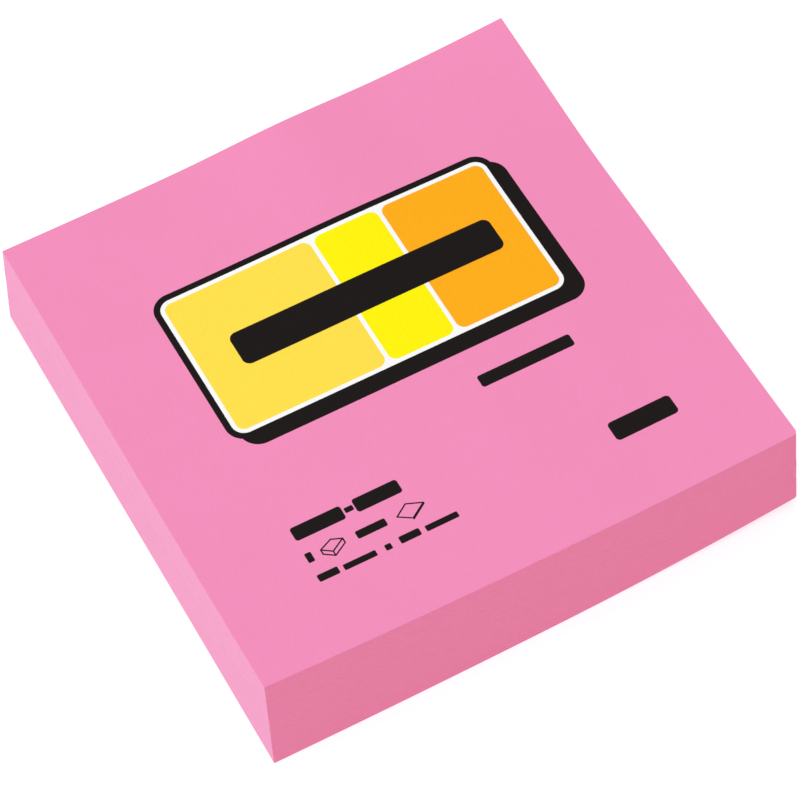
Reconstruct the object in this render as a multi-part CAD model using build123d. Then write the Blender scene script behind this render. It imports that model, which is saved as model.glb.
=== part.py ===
from build123d import *
from math import hypot, sqrt
import os

# Sticky note pad: a stack of square notes, a printed cover sheet and a slick backing sheet.
# Frame: origin at the bottom centre, +X along the reading direction of the print, +Y towards the
# glued back edge, +Z up. All sizes are in millimetres.

# Driving dimensions
side = 76.0                 # each sheet is a square of this side
pad_height = 16.0           # the whole stack, in its flat middle
cover_thickness = 0.16      # printed top sheet
backing_thickness = 0.12    # slick sheet under the last note
stack_lean = 0.8            # how far the top sheet has crept towards the glued edge
blunt_corner_radius = 0.8   # the front right corner is worn round
flat_run = 2.0              # straight length in the middle of an edge, between two corner bends

# How far each corner of a sheet curls up. The front left corner also fans open, so there the top
# sheet rises further than the bottom one.
back_left_lift = 0.6
back_right_lift = 1.4
front_right_lift = 1.5
front_left_lift = 0.2
front_left_fan = 1.4

# Worked out from the driving dimensions
bend_start = (side + flat_run) / 2 / sqrt(2)    # centre to a bend line, along a diagonal
bend_reach = side / sqrt(2) - bend_start        # bend line to the corner beyond it
overrun = stack_lean + 1.0                      # solids that are cut to the outline pass it by this
lean_per_mm = stack_lean / pad_height
highest_lift = max(back_left_lift, back_right_lift, front_right_lift, front_left_lift + front_left_fan)

# Each corner: its way out from the centre, its lift and how much further its top sheet rises
corners = [
    (Vector(-1, 1, 0), back_left_lift, 0),
    (Vector(1, 1, 0), back_right_lift, 0),
    (Vector(1, -1, 0), front_right_lift, 0),
    (Vector(-1, -1, 0), front_left_lift, front_left_fan),
]


def bend_arc(lift, level):
    """A sheet's bend, seen from the side: tangent to the flat, and risen by lift at the corner."""
    radius = (bend_reach**2 + lift**2) / (2 * lift)
    reach = bend_reach + overrun
    rise = radius - sqrt(radius**2 - reach**2)
    return TangentArc((bend_start, level), (bend_start + reach, level + rise), tangent=(1, 0))


def curled_corner(way_out, lift, fan, low, high):
    """The sheets between two levels beyond one bend line, not yet cut to the outline."""
    section_plane = Plane((0, 0, 0), x_dir=way_out, z_dir=way_out.rotate(Axis.Z, -90))
    with BuildPart() as corner:
        with BuildSketch(section_plane):
            with BuildLine():
                underside = bend_arc(lift + fan * low / pad_height, low)
                topside = bend_arc(lift + fan * high / pad_height, high)
                Line(underside @ 0, topside @ 0)
                Line(underside @ 1, topside @ 1)
            make_face()
        extrude(amount=side, both=True)
    return corner.part


def flat_middle(low, high):
    """The sheets between two levels inside all four bend lines, not yet cut to the outline."""
    with BuildPart() as middle:
        with BuildSketch(Plane.XY.offset(low)):
            Rectangle(2 * bend_start, 2 * bend_start, rotation=45)
        extrude(amount=high - low)
    return middle.part


def leaning_column():
    """The square outline of the sheets, carried along the lean, past both faces of the pad."""
    column_height = overrun + pad_height + highest_lift + overrun
    with BuildPart() as column:
        with BuildSketch(Plane.XY.offset(-overrun)):
            with Locations((0, -stack_lean / 2 - overrun * lean_per_mm)):
                Rectangle(side, side)
            front_right = vertices().sort_by(Axis((0, 0, 0), (1, -1, 0)))[-1]
            fillet(front_right, radius=blunt_corner_radius)
        extrude(amount=column_height * hypot(1, lean_per_mm), dir=(0, lean_per_mm, 1))
    return column.part


def sheets_between(low, high):
    """All the sheets between two levels of the stack, as one solid."""
    middle = flat_middle(low, high) & column
    bent = [curled_corner(*corner, low, high) & column for corner in corners]
    return middle + bent


column = leaning_column()
cover_underside = pad_height - cover_thickness
levels = {
    "backing_sheet": (0, backing_thickness),
    "note_block": (backing_thickness, cover_underside),
    "cover_sheet": (cover_underside, pad_height),
}

os.makedirs("parts", exist_ok=True)
for name, (low, high) in levels.items():
    export_step(sheets_between(low, high), f"parts/{name}.step")
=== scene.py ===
import math
import random

import bmesh
import bpy
from mathutils import Matrix, Vector


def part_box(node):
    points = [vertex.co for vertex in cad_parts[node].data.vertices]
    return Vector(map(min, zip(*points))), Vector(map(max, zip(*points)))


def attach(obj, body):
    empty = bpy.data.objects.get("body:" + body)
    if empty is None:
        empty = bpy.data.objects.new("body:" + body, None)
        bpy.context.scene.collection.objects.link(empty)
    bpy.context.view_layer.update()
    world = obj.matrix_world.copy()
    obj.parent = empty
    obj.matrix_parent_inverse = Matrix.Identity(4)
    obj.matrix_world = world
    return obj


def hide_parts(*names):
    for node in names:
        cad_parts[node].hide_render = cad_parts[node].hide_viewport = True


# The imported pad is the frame: every piece below takes its place and size from its boxes
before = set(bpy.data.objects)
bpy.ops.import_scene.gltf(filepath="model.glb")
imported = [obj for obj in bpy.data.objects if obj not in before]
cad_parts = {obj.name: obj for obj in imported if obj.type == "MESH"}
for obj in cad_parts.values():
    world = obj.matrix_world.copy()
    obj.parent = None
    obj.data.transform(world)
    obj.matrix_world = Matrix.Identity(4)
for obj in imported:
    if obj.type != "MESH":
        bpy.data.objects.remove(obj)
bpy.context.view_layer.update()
mm = 0.001                          # everything in the scene is in metres
print("frame loaded:", ", ".join(sorted(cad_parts)))


class Wire:
    # A socket that can stand in sums: each operator adds the Math node that it needs
    def __init__(self, shader, socket):
        self.shader = shader
        self.socket = socket

    def math(self, operation, *others, clamp=False):
        values = dict(enumerate((self, *others)))
        return self.shader.node("Math", {"operation": operation, "use_clamp": clamp}, values)

    def __add__(self, other):
        return self.math("ADD", other)

    def __radd__(self, other):
        return self.math("ADD", other)

    def __sub__(self, other):
        return self.math("SUBTRACT", other)

    def __rsub__(self, other):
        return self.shader.node("Math", {"operation": "SUBTRACT"}, {0: other, 1: self})

    def __mul__(self, other):
        return self.math("MULTIPLY", other)

    def __rmul__(self, other):
        return self.math("MULTIPLY", other)

    def __abs__(self):
        return self.math("ABSOLUTE")


class Shader:
    # One material, its node tree and the few kinds of node that the papers and the floor share
    def __init__(self, name):
        self.material = bpy.data.materials.new(name)
        self.material.use_nodes = True
        self.tree = self.material.node_tree
        self.tree.nodes.clear()

    def node(self, kind, settings=None, inputs=None, output=0):
        made = self.tree.nodes.new("ShaderNode" + kind)
        for name, value in (settings or {}).items():
            setattr(made, name, value)
        for name, value in (inputs or {}).items():
            if isinstance(value, Wire):
                self.tree.links.new(value.socket, made.inputs[name])
            else:
                made.inputs[name].default_value = value
        return Wire(self, made.outputs[output] if made.outputs else None)

    def place(self):
        return self.node("TexCoord", output="Object")

    def attribute(self, name):
        return self.node("Attribute", {"attribute_name": name}, output="Fac")

    def vector(self, operation, *values, output=0):
        return self.node("VectorMath", {"operation": operation}, dict(enumerate(values)), output)

    def scaled(self, vector, amount):
        return self.node("VectorMath", {"operation": "SCALE"}, {0: vector, 3: amount})

    def stretched(self, place, scale):
        return self.node("Mapping", {"vector_type": "POINT"}, {"Vector": place, "Scale": scale})

    def noise(self, place, size, detail, roughness=0.5):
        # From about -1 to 1; size is the width of a patch in metres
        inputs = {"Vector": place, "Scale": 1 / size, "Detail": detail, "Roughness": roughness}
        return self.node("TexNoise", inputs=inputs) * 2 - 1

    def mix(self, amount, one, other):
        return self.node("Mix", {"data_type": "RGBA"}, {0: amount, 6: one, 7: other}, output=2)

    def bump(self, height, distance):
        return self.node("Bump", inputs={"Height": height, "Distance": distance})

    def surface(self, sockets):
        shader = self.node("BsdfPrincipled", inputs=sockets)
        self.node("OutputMaterial", inputs={"Surface": shader})
        return self.material


def linear(red, green, blue):
    # A screen colour of 0 to 255, undone from the standard screen curve
    def channel(value):
        value = value / 255
        return value / 12.92 if value <= 0.04045 else ((value + 0.055) / 1.055) ** 2.4
    return (channel(red), channel(green), channel(blue), 1.0)


# How the whole pad is bent out of its flat stack. A corner or an edge is keyed by its way out from
# the middle, such as (1, -1) for the front right corner
padShape = {
    "height": 16.0 * mm,
    "lean": 0.8 * mm,               # how far the top sheet has crept towards the glued edge
    "flat run": 2.0 * mm,           # straight part in the middle of an edge
    "blunt corner": 0.6 * mm,       # the front right corner is worn round
    "blunt segments": 5,
    "sharp angle": math.radians(30),
    # Rise of each corner's tip on the bottom sheet, and how much more it is on the top one
    "corners": {
        (-1, 1): (0.6 * mm, 0.0),
        (1, 1): (1.4 * mm, 0.0),
        (1, -1): (1.5 * mm, 0.0),
        (-1, -1): (0.2 * mm, 1.4 * mm),
    },
    # Slip along x and y and rise of each corner, in mm, on the bottom sheet and then on the top one
    "handling": {
        (-1, 1): ((-0.19, 0.45, 0.50), (0.45, -0.37, -0.61)),
        (1, 1): ((0.0, 0.0, 0.0), (-0.12, 0.10, 0.10)),
        (1, -1): ((0.60, -0.02, 0.63), (-0.21, -0.17, -0.35)),
        (-1, -1): ((-0.20, -0.18, 0.0), (0.05, 0.16, 0.39)),
    },
    # How far the bottom and the top sheet stand out in the middle of an edge, and the top's rise, in mm
    "edges": {
        (0, -1): (0.22, 0.05, 0.61),
        (1, 0): (0.0, 0.16, 0.18),
        (-1, 0): (-0.10, -0.03, 0.68),
    },
    "crown": (3.8 * mm, 11.0 * mm, 0.70 * mm),      # place, width and height of the swell at the back edge
    "dip": (15.0 * mm, 12.0 * mm, 0.67 * mm),       # and of the hollow in the right edge
    # Powers: the higher one is, the closer that change keeps to its own corner or edge
    "corner hold": 2,
    "edge hold": 3,
    "swell hold": 4,
}

backingLow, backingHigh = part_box("backing_sheet")
halfSide = backingHigh.x
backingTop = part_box("note_block")[0].z              # flat levels of the faces where the pieces meet
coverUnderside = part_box("cover_sheet")[0].z


def cornerRise(x, y, share):
    # Height that the four curled corners add at a place, on the sheet at that share of the pad's height
    bendStart = (halfSide + padShape["flat run"] / 2) / math.sqrt(2)
    reach = halfSide * math.sqrt(2) - bendStart
    rise = 0.0
    for (outX, outY), (lift, fan) in padShape["corners"].items():
        out = max(0.0, (outX * x + outY * y) / math.sqrt(2) - bendStart)
        tip = lift + fan * share
        radius = (reach ** 2 + tip ** 2) / (2 * tip)
        rise += radius - math.sqrt(radius ** 2 - out ** 2)
    return rise


def towards(place, direction):
    # 0 at the edge away from the direction, 1 at the edge that it points to
    return max(0.0, (direction * place / halfSide + 1) / 2)


def swell(place, shape):
    at, width, height = shape
    return height * math.exp(-((place - at) / width) ** 2)


def handled(x, y, share):
    # Small slips and rises that handling has left in the pad, over the curl of its corners
    moved = Vector((0, 0, 0))
    for (outX, outY), (bottom, top) in padShape["handling"].items():
        slipX, slipY, rise = Vector(bottom).lerp(Vector(top), share) * mm
        near = towards(x, outX) * towards(y, outY)
        moved += Vector((slipX * near, slipY * near, rise * near ** padShape["corner hold"]))
    for (outX, outY), (bottom, top, rise) in padShape["edges"].items():
        across, along = (x, y) if outX else (y, x)
        middle = 1 - (along / halfSide) ** 2
        near = mm * middle * towards(across, outX or outY) ** padShape["edge hold"]
        out = bottom + (top - bottom) * share
        moved += Vector((outX * out, outY * out, rise * share)) * near
    moved.z += share * swell(x, padShape["crown"]) * towards(y, 1) ** padShape["swell hold"]
    moved.z -= share * swell(y, padShape["dip"]) * towards(x, 1) ** padShape["swell hold"]
    return moved


def curl(bm):
    # Bends a flat stack of sheets into the pad's shape
    for vert in bm.verts:
        x, y, level = vert.co
        share = level / padShape["height"]
        vert.co += handled(x, y, share)
        vert.co.z += cornerRise(x, y, share)
        vert.co.y += padShape["lean"] * (share - 0.5)       # the sheet at half height stays in place


def flatStack(bm, low, high, segments):
    # A square stack of paper as a fine grid, with the front right corner worn round
    bmesh.ops.create_grid(bm, x_segments=segments, y_segments=segments, size=halfSide)
    corner = max(bm.verts, key=lambda vert: vert.co.x - vert.co.y)
    bmesh.ops.bevel(bm, geom=[corner], offset=padShape["blunt corner"], affect="VERTICES",
                    segments=padShape["blunt segments"], profile=0.5, material=-1)
    bmesh.ops.translate(bm, vec=(0, 0, low), verts=bm.verts)
    raised = bmesh.ops.extrude_face_region(bm, geom=bm.faces[:])["geom"]
    tops = [part for part in raised if isinstance(part, bmesh.types.BMVert)]
    bmesh.ops.translate(bm, vec=(0, 0, high - low), verts=tops)
    bmesh.ops.recalc_face_normals(bm, faces=bm.faces)


# Places of a thin sheet's sides on its baked map: left, bottom, width and height
thinSheet = {
    "large": (0.005, 0.005, 0.88, 0.88),            # for the face that shows
    "small": (0.895, 0.895, 0.10, 0.10),            # for the face that lies against the notes
    "sides": {
        "right": (0.005, 0.895, 0.88, 0.02),
        "left": (0.005, 0.920, 0.88, 0.02),
        "back": (0.005, 0.945, 0.88, 0.02),
        "front": (0.005, 0.970, 0.88, 0.02),
    },
}


def mapForBake(bm, low, high, layout):
    # Lays each side of a flat stack out whole, in its own rectangle, so that thin sides aren't cut apart
    layer = bm.loops.layers.uv.new("OFBake")
    upright = 0.99                  # least height of a unit normal on the two large faces
    for face in bm.faces:
        out = face.normal
        if abs(out.z) > upright:
            side = "top" if out.z > 0 else "underside"
        elif abs(out.x) > abs(out.y):
            side = "right" if out.x > 0 else "left"
        else:
            side = "back" if out.y > 0 else "front"
        left, bottom, width, height = layout[side]
        for loop in face.loops:
            x, y, level = loop.vert.co
            alongX, alongY = (x / halfSide + 1) / 2, (y / halfSide + 1) / 2
            across = alongY if side in ("right", "left") else alongX
            upwards = alongY if side in ("top", "underside") else (level - low) / (high - low)
            loop[layer].uv = (left + width * across, bottom + height * upwards)


def finishPiece(bm, name, node, material):
    mesh = bpy.data.meshes.new(name)
    bm.to_mesh(mesh)
    bm.free()
    mesh.materials.append(material)
    mesh.shade_smooth()
    mesh.set_sharp_from_angle(angle=padShape["sharp angle"])
    piece = bpy.data.objects.new(name, mesh)
    bpy.context.scene.collection.objects.link(piece)
    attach(piece, "root")
    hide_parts(node)
    print(name, "made,", len(mesh.polygons), "faces")


# The stack of notes under the cover
notes = {
    "sheets": 100,
    "segments": 32,                 # faces along each side
    "rounding": 0.14,               # share of a sheet's thickness that rounds off into the groove
    "groove": 0.02 * mm,            # how far the line between two sheets lies back
    "stray": 0.012 * mm,            # how far a single sheet sits off the stack
    "drift": 0.005 * mm,            # how far the stack wanders from one sheet to the next
    "memory": 0.93,                 # share of the wandering that is left a sheet later
    "seed": 7,
    "colour": (0.233, 0.263, 0.381),
    "paintedGlow": (0.575, 0.0, 0.057),    # painted glow: the pink paper gives out this light by itself, lit or not, which keeps its shaded sides bright
    "fibres": (0.25 * mm, 4, 0.6),  # width of a patch, detail and, where it isn't 0.5, roughness
    "blotches": (9 * mm, 3),
    "knife marks": (0.3 * mm, 2),
    "knife run": (1, 1, 0.03),      # stretches the knife marks down the stack
    "seamShade": (0.38, 8.0),            # painted shade at the line between two sheets: how far off a sheet's middle it starts, and its slope
    # How much each of them lightens or darkens the paper; the seam's painted shade only darkens it
    "shades": {"sheet": 0.008, "fibres": 0.02, "blotches": 0.012, "knife marks": 0.01, "seamShade": 0.03},
    "roughness": 0.86,
    "fibre roughness": 0.06,
    "specular": 0.25,
    "relief": 0.01 * mm,            # height of the fibres
    "knife relief": 0.6,            # height of the knife marks, as a share of the fibres'
    "map": {                        # left, bottom, width and height of each side's place on the baked map
        "right": (0.01, 0.005, 0.98, 0.20),
        "left": (0.01, 0.220, 0.98, 0.20),
        "back": (0.01, 0.435, 0.98, 0.20),
        "front": (0.01, 0.650, 0.98, 0.20),
        "underside": (0.01, 0.870, 0.12, 0.12),
        "top": (0.21, 0.870, 0.12, 0.12),
    },
}


def notePaper():
    # Cut edges of the notes: each sheet has a shade of its own, with faint knife marks down the stack,
    # painted shade at the lines between sheets and a painted glow
    shader = Shader("notePaper")
    place = shader.place()
    sheet = shader.attribute("sheetNumber")
    tone = shader.node("TexWhiteNoise", {"noise_dimensions": "1D"}, {"W": sheet.math("FLOOR")}) * 2 - 1
    fibres = shader.noise(place, *notes["fibres"])
    blotches = shader.noise(place, *notes["blotches"])
    knife = shader.noise(shader.stretched(place, notes["knife run"]), *notes["knife marks"])
    seamShadeStart, seamShadeSlope = notes["seamShade"]
    # painted shade: each cut edge darkens towards the lines where it meets the sheets above and below
    seamShade = (abs(sheet.math("FRACT") - 0.5) - seamShadeStart).math("MULTIPLY", seamShadeSlope, clamp=True)
    shades = notes["shades"]
    light = (1 + tone * shades["sheet"] + fibres * shades["fibres"] + blotches * shades["blotches"]
             + knife * shades["knife marks"] - seamShade * shades["seamShade"])
    return shader.surface({
        "Base Color": shader.scaled(notes["colour"], light),
        "Roughness": fibres * notes["fibre roughness"] + notes["roughness"],
        "Specular IOR Level": notes["specular"],
        # painted glow: the paper shines by itself, as if lit
        "Emission Color": shader.scaled(notes["paintedGlow"], light),
        "Emission Strength": 1.0,
        "Normal": shader.bump(fibres + knife * notes["knife relief"], notes["relief"]),
    })


def makeNoteStack(material):
    draw = random.Random(notes["seed"])
    thickness = (coverUnderside - backingTop) / notes["sheets"]
    rings = 3                       # for each sheet: its lower line and the two ends of its cut edge
    bm = bmesh.new()
    flatStack(bm, backingTop, coverUnderside, notes["segments"])
    uprights = [edge for edge in bm.edges if abs(edge.verts[0].co.z - edge.verts[1].co.z) > thickness]
    bmesh.ops.subdivide_edges(bm, edges=uprights, cuts=rings * notes["sheets"] - 1)
    sheetLayer = bm.verts.layers.float.new("sheetNumber")
    wander = Vector((0, 0, 0))
    shifts = []
    for sheet in range(notes["sheets"] + 1):
        step = Vector((draw.gauss(0, 1), draw.gauss(0, 1), 0)) * notes["drift"]
        wander = (wander + step) * notes["memory"]
        shifts.append(wander + Vector((draw.uniform(-1, 1), draw.uniform(-1, 1), 0)) * notes["stray"])
    drawIn = 1 - notes["groove"] / halfSide
    for vert in bm.verts:
        sheet, part = divmod(round((vert.co.z - backingTop) / thickness * rings), rings)
        if part == 0:
            vert[sheetLayer] = sheet
            vert.co.x *= drawIn
            vert.co.y *= drawIn
            vert.co += (shifts[sheet] + shifts[max(0, sheet - 1)]) / 2
        else:
            within = notes["rounding"] if part == 1 else 1 - notes["rounding"]
            vert[sheetLayer] = sheet + within
            vert.co.z = backingTop + (sheet + within) * thickness
            vert.co += shifts[sheet]
    bm.normal_update()
    mapForBake(bm, backingTop, coverUnderside, notes["map"])
    curl(bm)
    finishPiece(bm, "noteStack", "note_block", material)


makeNoteStack(notePaper())

# The printed sheet on top. Places in the print are in mm from the sheet's middle, x along the print
cover = {
    "segments": 48,
    "colour": (0.400, 0.242, 0.370),
    # painted glow: the cover's bare paper gives out this light by itself, lit or not
    "paintedGlow": (0.44, 0.0, 0.08),
    "black": linear(24, 19, 18),
    "white": linear(236, 236, 236),
    "amber": linear(240, 211, 72),
    "yellow": linear(240, 229, 4),
    "orange": linear(240, 164, 22),
    "bleed": 0.02,                  # how far ink creeps along the fibres
    "softness": 0.05,               # width of an inked edge
    "badge": {
        "middle": (0.3, 8.2),
        "size": (48.4, 23.4),
        "corner": 1.8,
        "outline": 0.9,
        "keyline": 0.6,
        "shadow": (1.2, -1.6),
        "fields": {"amber": 0.46, "yellow": 0.21, "orange": 0.33},     # shares of the width
    },
    "bars": {                       # middle and size of each
        "band": ((1.2, 8.4), (38.4, 5.4)),
        "title": ((13.7, -11.2), (13.6, 1.9)),
        "mark": ((22.3, -26.1), (9.1, 3.0)),
        "heading": ((-21.1, -19.8), (7.1, 2.1)),
        "heading dash": ((-16.7, -19.8), (1.2, 0.8)),
        "heading end": ((-12.7, -19.8), (6.4, 2.1)),
        "count of pads": ((-24.3, -23.7), (0.9, 1.5)),
        "count of sheets": ((-15.6, -23.7), (4.2, 1.2)),
        "length": ((-23.4, -27.0), (2.9, 1.1)),
        "length unit": ((-19.0, -27.1), (4.6, 0.9)),
        "times": ((-15.0, -27.1), (0.9, 0.9)),
        "width": ((-11.9, -27.0), (2.9, 1.1)),
        "width unit": ((-7.4, -27.1), (4.6, 0.9)),
    },
    "bar corner": 0.2,              # radius of a bar's corners, as a share of its shorter side
    "signs": [                      # lines of a small pad and a small sheet, each seen from a corner
        [(-22.6, -23.4), (-20.8, -22.6), (-19.4, -23.2), (-21.3, -24.3), (-22.6, -23.4)],
        [(-22.6, -23.4), (-22.6, -24.1), (-21.3, -25.0), (-19.4, -23.9), (-19.4, -23.2)],
        [(-21.3, -24.3), (-21.3, -25.0)],
        [(-12.0, -23.8), (-10.2, -22.6), (-8.1, -23.5), (-10.3, -24.9), (-12.0, -23.8)],
        [(-8.1, -23.65), (-10.25, -25.05)],
    ],
    "stroke": 0.2,                  # width of those lines
    "fibres": (0.22 * mm, 4, 0.6),  # width of a patch, detail and, where it isn't 0.5, roughness
    "strands": (0.35 * mm, 3),
    "strand run": (1.0, 0.25, 1.0),
    "blotches": (11 * mm, 3),
    "shades": {"fibres": 0.025, "strands": 0.016, "blotches": 0.025},
    "roughness": 0.84,
    "fibre roughness": 0.06,
    "ink gloss": 0.28,              # how much less rough the ink is
    "specular": 0.06,
    "relief": 0.012 * mm,
    "map": {"top": thinSheet["large"], "underside": thinSheet["small"], **thinSheet["sides"]},
}


def boxDistance(shader, place, middle, size, corner):
    # Distance to a rounded rectangle's edge, less than 0 inside it
    endless = 1000.0                # the rectangle has no upper or lower end
    hair = 1e-4                     # keeps the inside below 0 where a corner isn't rounded
    half = (size[0] / 2 - corner, size[1] / 2 - corner, endless)
    fromMiddle = shader.vector("SUBTRACT", place, (*middle, 0.0))
    beyond = shader.vector("SUBTRACT", shader.vector("ABSOLUTE", fromMiddle), half)
    outside = shader.vector("LENGTH", shader.vector("MAXIMUM", beyond, (0.0, 0.0, 0.0)), output=1)
    return outside - (corner + hair)


def strokeDistance(shader, place, start, end):
    # Distance to the middle line of a stroke between two points
    run = Vector(end) - Vector(start)
    fromStart = shader.vector("SUBTRACT", place, (*start, 0.0))
    passed = shader.vector("DOT_PRODUCT", fromStart, (*(run / run.length_squared), 0.0), output=1)
    nearest = shader.scaled((*run, 0.0), passed.math("ADD", 0.0, clamp=True))
    return shader.vector("LENGTH", shader.vector("SUBTRACT", fromStart, nearest), output=1)


def coverPaper():
    shader = Shader("coverPaper")
    place = shader.place()
    flat = shader.vector("MULTIPLY", place, (1 / mm, 1 / mm, 0.0))
    lean = padShape["lean"] / 2 / mm
    onPrint = shader.vector("SUBTRACT", flat, (0.0, lean, 0.0))
    fibres = shader.noise(place, *cover["fibres"])
    strands = shader.noise(shader.stretched(place, cover["strand run"]), *cover["strands"])
    blotches = shader.noise(place, *cover["blotches"])
    creep = fibres * cover["bleed"]
    printedSide = shader.attribute("printedSide")

    def inked(distance):
        # 1 under ink, 0 on bare paper and half of it on the edge's own line
        edge = (distance + creep) * (-1 / cover["softness"])
        return edge.math("ADD", 0.5, clamp=True) * printedSide

    badge = cover["badge"]
    middle, size, corner = Vector(badge["middle"]), Vector(badge["size"]), badge["corner"]
    rim, keyline = badge["outline"], badge["keyline"]
    outer = size + 2 * Vector((rim, rim))
    outline = boxDistance(shader, onPrint, middle, outer, corner + rim)
    shadow = boxDistance(shader, onPrint, middle + Vector(badge["shadow"]), outer, corner + rim)
    ground = inked(outline.math("MINIMUM", shadow))
    plate = inked(boxDistance(shader, onPrint, middle, size, corner))
    marks = None
    for barMiddle, barSize in cover["bars"].values():
        bar = boxDistance(shader, onPrint, barMiddle, barSize, min(barSize) * cover["bar corner"])
        marks = bar if marks is None else marks.math("MINIMUM", bar)
    for line in cover["signs"]:
        for start, end in zip(line, line[1:]):
            stroke = strokeDistance(shader, onPrint, start, end) - cover["stroke"] / 2
            marks = marks.math("MINIMUM", stroke)
    barsAndSigns = inked(marks)

    shades = cover["shades"]
    light = (1 + fibres * shades["fibres"] + strands * shades["strands"]
             + blotches * shades["blotches"])
    bare = shader.scaled(cover["colour"], light)
    printed = shader.mix(ground, bare, cover["black"])
    printed = shader.mix(plate, printed, cover["white"])
    left = middle.x - size.x / 2 + keyline
    for name, share in badge["fields"].items():
        width = share * (size.x - keyline) - keyline
        field = boxDistance(shader, onPrint, (left + width / 2, middle.y),
                            (width, size.y - 2 * keyline), corner - keyline)
        printed = shader.mix(inked(field), printed, cover[name])
        left += width + keyline
    printed = shader.mix(barsAndSigns, printed, cover["black"])
    ink = ground.math("MAXIMUM", plate).math("MAXIMUM", barsAndSigns)
    paintedGlow = shader.scaled(cover["paintedGlow"], light * (1 - ink))      # the ink hides the paper's painted glow
    return shader.surface({
        "Base Color": printed,
        "Roughness": cover["roughness"] + fibres * cover["fibre roughness"] - ink * cover["ink gloss"],
        "Specular IOR Level": cover["specular"],
        "Emission Color": paintedGlow,
        "Emission Strength": 1.0,
        "Normal": shader.bump(fibres + strands, cover["relief"]),
    })


def makeCoverSheet(material):
    bm = bmesh.new()
    flatStack(bm, coverUnderside, padShape["height"], cover["segments"])
    printedSide = bm.verts.layers.float.new("printedSide")      # 1 on the upper face, 0 on the lower
    for vert in bm.verts:
        vert[printedSide] = round((vert.co.z - coverUnderside) / (padShape["height"] - coverUnderside))
    mapForBake(bm, coverUnderside, padShape["height"], cover["map"])
    curl(bm)
    finishPiece(bm, "coverSheet", "cover_sheet", material)


makeCoverSheet(coverPaper())

# The slick sheet under the last note
backing = {
    "segments": 32,
    "colour": (0.40, 0.25, 0.36),
    # painted glow: the backing gives out this light by itself, lit or not
    "paintedGlow": (0.42, 0.0, 0.09),
    "fibres": (0.4 * mm, 3),        # width of a patch and detail
    "streaks": (0.6 * mm, 2),
    "streak run": (0.05, 1.0, 1.0),
    "blotches": (6 * mm, 3),
    "shades": {"fibres": 0.01, "streaks": 0.012, "blotches": 0.015},
    "roughness": 0.36,
    "blotch roughness": 0.05,
    "streak roughness": 0.04,
    "specular": 0.5,
    "relief": 0.004 * mm,
    "map": {"top": thinSheet["small"], "underside": thinSheet["large"], **thinSheet["sides"]},
}


def backingPaper():
    shader = Shader("backingPaper")
    place = shader.place()
    fibres = shader.noise(place, *backing["fibres"])
    streaks = shader.noise(shader.stretched(place, backing["streak run"]), *backing["streaks"])
    blotches = shader.noise(place, *backing["blotches"])
    shades = backing["shades"]
    light = (1 + fibres * shades["fibres"] + streaks * shades["streaks"]
             + blotches * shades["blotches"])
    roughness = (backing["roughness"] + blotches * backing["blotch roughness"]
                 + streaks * backing["streak roughness"])
    return shader.surface({
        "Base Color": shader.scaled(backing["colour"], light),
        "Roughness": roughness,
        "Specular IOR Level": backing["specular"],
        # painted glow: the backing shines by itself, as if lit
        "Emission Color": shader.scaled(backing["paintedGlow"], light),
        "Emission Strength": 1.0,
        "Normal": shader.bump(streaks + fibres, backing["relief"]),
    })


def makeBackingSheet(material):
    bm = bmesh.new()
    flatStack(bm, backingLow.z, backingTop, backing["segments"])
    mapForBake(bm, backingLow.z, backingTop, backing["map"])
    curl(bm)
    finishPiece(bm, "backingSheet", "backing_sheet", material)


makeBackingSheet(backingPaper())

# The studio: a pale floor, two soft boxes and an even white sky
studio = {
    "white": (1.0, 1.0, 1.0, 1.0),
    "floor side": 3.0,
    "floor colour": (0.38, 0.38, 0.38),
    "floor glow": 0.70,             # a light table: it shines a little by itself, so shadows stay faint
    "floor grain": (2 * mm, 3),     # width of a patch and detail
    "grain shade": 0.003,
    "floor roughness": 0.9,
    "floor specular": 0.1,
    "sky": 0.32,
    "lights": {                     # azimuth and height in degrees, distance, width, height, watts
        "leftSoftbox": (-99, 14, 0.8, 0.8, 0.4, 4.3),
        "topSoftbox": (-90, 86, 0.9, 0.9, 0.9, 7.3),
    },
}


def makeFloor():
    shader = Shader("studioFloor")
    grain = shader.noise(shader.place(), *studio["floor grain"])
    material = shader.surface({
        "Base Color": shader.scaled(studio["floor colour"], 1 + grain * studio["grain shade"]),
        "Roughness": studio["floor roughness"],
        "Specular IOR Level": studio["floor specular"],
        "Emission Color": studio["white"],
        "Emission Strength": studio["floor glow"],
    })
    bm = bmesh.new()
    bmesh.ops.create_grid(bm, x_segments=2, y_segments=2, size=studio["floor side"] / 2)
    mesh = bpy.data.meshes.new("studioFloor")
    bm.to_mesh(mesh)
    bm.free()
    mesh.materials.append(material)
    floor = bpy.data.objects.new("studioFloor", mesh)
    bpy.context.scene.collection.objects.link(floor)


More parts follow.
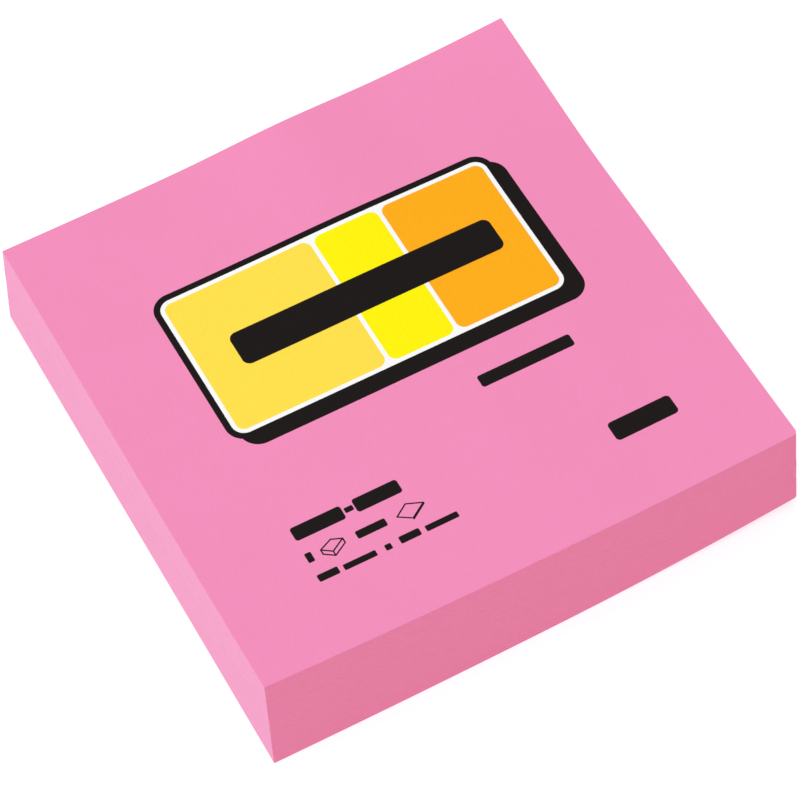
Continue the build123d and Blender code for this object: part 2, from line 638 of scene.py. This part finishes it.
def directionTo(azimuth, height):
    # Azimuth 0 is straight in front of the pad, and -90 its left
    azimuth, height = math.radians(azimuth), math.radians(height)
    across = math.cos(height)
    return Vector((math.sin(azimuth) * across, -math.cos(azimuth) * across, math.sin(height)))


def makeLights():
    for name, (azimuth, height, distance, width, tall, strength) in studio["lights"].items():
        lamp = bpy.data.lights.new(name, "AREA")
        lamp.shape = "RECTANGLE"
        lamp.size, lamp.size_y = width, tall
        lamp.energy = strength
        light = bpy.data.objects.new(name, lamp)
        out = directionTo(azimuth, height)
        facing = out.to_track_quat("Z", "Y").to_matrix().to_4x4()       # a lamp shines along its -Z
        light.matrix_world = Matrix.Translation(out * distance) @ facing
        bpy.context.scene.collection.objects.link(light)
    world = bpy.data.worlds.new("studioSky")
    world.use_nodes = True
    sky = world.node_tree.nodes["Background"]
    sky.inputs["Color"].default_value = studio["white"]
    sky.inputs["Strength"].default_value = studio["sky"]
    bpy.context.scene.world = world


# The camera looks from that azimuth and height, in degrees, at a point on the desk near the pad's middle
camera = {
    "azimuth": -26.59,
    "height": 57.26,
    "roll": -2.42,
    "distance": 501.7 * mm,
    "aim": (1.39 * mm, 1.16 * mm, 0.0),
    "lens": 170.25,
    "sensor": 36.0,
    "clip": (0.05, 10.0),
}


def makeCamera():
    back = directionTo(camera["azimuth"], camera["height"])
    level = Vector((0, 0, 1)).cross(back).normalized()
    turn = Matrix.Rotation(math.radians(camera["roll"]), 3, back)
    right = turn @ level
    up = back.cross(right)
    data = bpy.data.cameras.new("studioCamera")
    data.sensor_width = camera["sensor"]
    data.lens = camera["lens"]
    data.clip_start, data.clip_end = camera["clip"]
    holder = bpy.data.objects.new("studioCamera", data)
    holder.matrix_world = (Matrix.Translation(Vector(camera["aim"]) + back * camera["distance"])
                           @ Matrix((right, up, back)).transposed().to_4x4())
    bpy.context.scene.collection.objects.link(holder)
    bpy.context.scene.camera = holder


makeFloor()
makeLights()
makeCamera()
bpy.context.scene.view_settings.view_transform = "Standard"
print("studio set")
